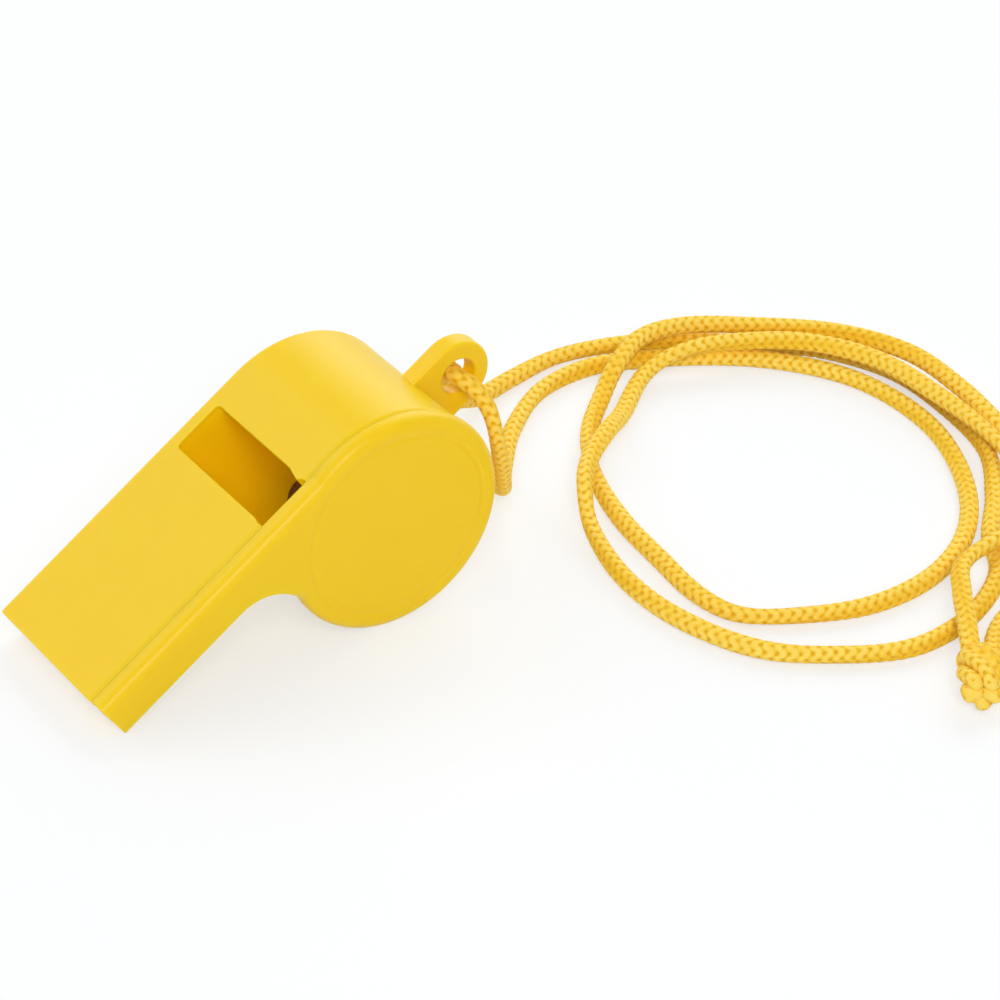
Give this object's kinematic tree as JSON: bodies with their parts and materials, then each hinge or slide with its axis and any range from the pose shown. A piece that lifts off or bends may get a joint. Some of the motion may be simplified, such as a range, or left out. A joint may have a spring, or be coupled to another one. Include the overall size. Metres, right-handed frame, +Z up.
{
  "type": "pea whistle",
  "caption": "Moulded plastic pea whistle with a round chamber, a top window, a rear lug and a knotted braided neck cord.",
  "frame": {"origin": "middle of the whistle's footprint box, on the surface it lies on, not counting its cord", "axes": "+X from the mouthpiece to the lug, +Y from the cover to the far wall, +Z up"},
  "size_m": [0.1338, 0.0867, 0.0247],
  "materials": {
    "yellow_plastic": "satin moulded plastic with crisp mould edges",
    "cork": "matt cork",
    "cord": "round braid"
  },
  "bodies": {
    "whistle": {"whistle_body": "yellow_plastic", "side_cover": "yellow_plastic", "cord_near": "cord", "cord_coil": "cord", "cord_near_end": "cord", "cord_far": "cord", "knot": "cord"},
    "pea": {"pea": "cork"}
  },
  "joints": [
    {"name": "pea_orbit", "type": "hinge", "parent": "whistle", "child": "pea", "pos_m": [0.00888, 0, 0.01235], "axis": [0, 1, 0], "continuous": true}
  ]
}
